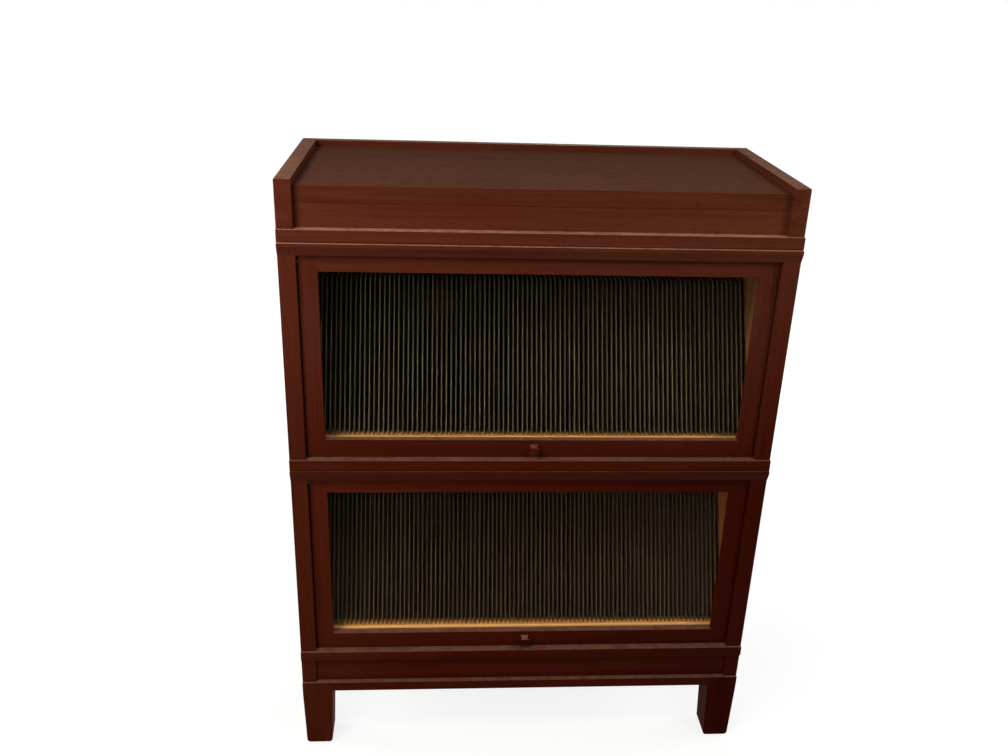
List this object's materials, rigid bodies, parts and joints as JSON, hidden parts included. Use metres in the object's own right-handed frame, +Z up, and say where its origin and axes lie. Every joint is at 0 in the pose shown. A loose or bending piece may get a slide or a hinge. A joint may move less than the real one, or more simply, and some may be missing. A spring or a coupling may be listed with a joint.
{
  "type": "sectional record cabinet",
  "caption": "Stacking wooden record cabinet with glazed lift-up doors, slotted racks of upright dividers, a legged base and a gallery top.",
  "frame": {"origin": "on the floor, under the middle of the cabinet's overall box", "axes": "+Z up, front towards -Y, +X to the right of someone facing the front"},
  "size_m": [0.868, 0.3804, 1.141],
  "materials": {
    "mahogany": "satin",
    "inner_wood": "matte",
    "rack_wood": "matte",
    "divider_board": "matte",
    "glass": "clear",
    "steel": "satin"
  },
  "bodies": {
    "cabinet": {"base_frieze": "mahogany", "base_front_apron": "mahogany", "base_rear_board": "inner_wood", "base_side_aprons": "mahogany", "base_side_boards": "mahogany", "foot_glides": "steel", "gallery_back_rail": "mahogany", "left_front_leg": "mahogany", "left_rear_leg": "mahogany", "lower_back_panel": "inner_wood", "lower_dividers": "divider_board", "lower_floor_board": "inner_wood", "lower_head_rail": "mahogany", "lower_head_returns": "mahogany", "lower_left_side": "mahogany", "lower_rack_board": "rack_wood", "lower_rear_comb": "rack_wood", "lower_rear_head_rail": "inner_wood", "lower_right_side": "mahogany", "lower_side_bands": "mahogany", "lower_sill_band": "mahogany", "right_front_leg": "mahogany", "right_rear_leg": "mahogany", "stacking_dowels": "rack_wood", "top_band": "mahogany", "top_board": "mahogany", "top_frieze": "mahogany", "top_left_cheek": "mahogany", "top_right_cheek": "mahogany", "top_side_bands": "mahogany", "upper_back_panel": "inner_wood", "upper_dividers": "divider_board", "upper_floor_board": "inner_wood", "upper_head_rail": "mahogany", "upper_head_returns": "mahogany", "upper_left_side": "mahogany", "upper_rack_board": "rack_wood", "upper_rear_comb": "rack_wood", "upper_rear_head_rail": "inner_wood", "upper_right_side": "mahogany", "upper_side_bands": "mahogany", "upper_sill_band": "mahogany"},
    "upper_door_runner": {"upper_door_pins": "steel"},
    "upper_door": {"upper_door_beads": "mahogany", "upper_door_bottom_rail": "mahogany", "upper_door_glass": "glass", "upper_door_knob": "mahogany", "upper_door_knob_screw": "steel", "upper_door_left_stile": "mahogany", "upper_door_right_stile": "mahogany", "upper_door_top_rail": "mahogany"},
    "lower_door_runner": {"lower_door_pins": "steel"},
    "lower_door": {"lower_door_beads": "mahogany", "lower_door_bottom_rail": "mahogany", "lower_door_glass": "glass", "lower_door_knob": "mahogany", "lower_door_knob_screw": "steel", "lower_door_left_stile": "mahogany", "lower_door_right_stile": "mahogany", "lower_door_top_rail": "mahogany"}
  },
  "joints": [
    {"name": "upper_door_recede", "type": "slide", "parent": "cabinet", "child": "upper_door_runner", "axis": [0, 1, 0], "range_m": [0, 0.13]},
    {"name": "upper_door_lift", "type": "hinge", "parent": "upper_door_runner", "child": "upper_door", "pos_m": [0, -0.15725, 1.001], "axis": [-1, 0, 0], "range_deg": [0, 90]},
    {"name": "lower_door_recede", "type": "slide", "parent": "cabinet", "child": "lower_door_runner", "axis": [0, 1, 0], "range_m": [0, 0.13]},
    {"name": "lower_door_lift", "type": "hinge", "parent": "lower_door_runner", "child": "lower_door", "pos_m": [0, -0.15725, 0.585], "axis": [-1, 0, 0], "range_deg": [0, 90]}
  ],
  "couplings": [
    {"joint": "upper_door_recede", "follows": "upper_door_lift", "m_per_rad": 0.082752},
    {"joint": "lower_door_recede", "follows": "lower_door_lift", "m_per_rad": 0.082752}
  ]
}
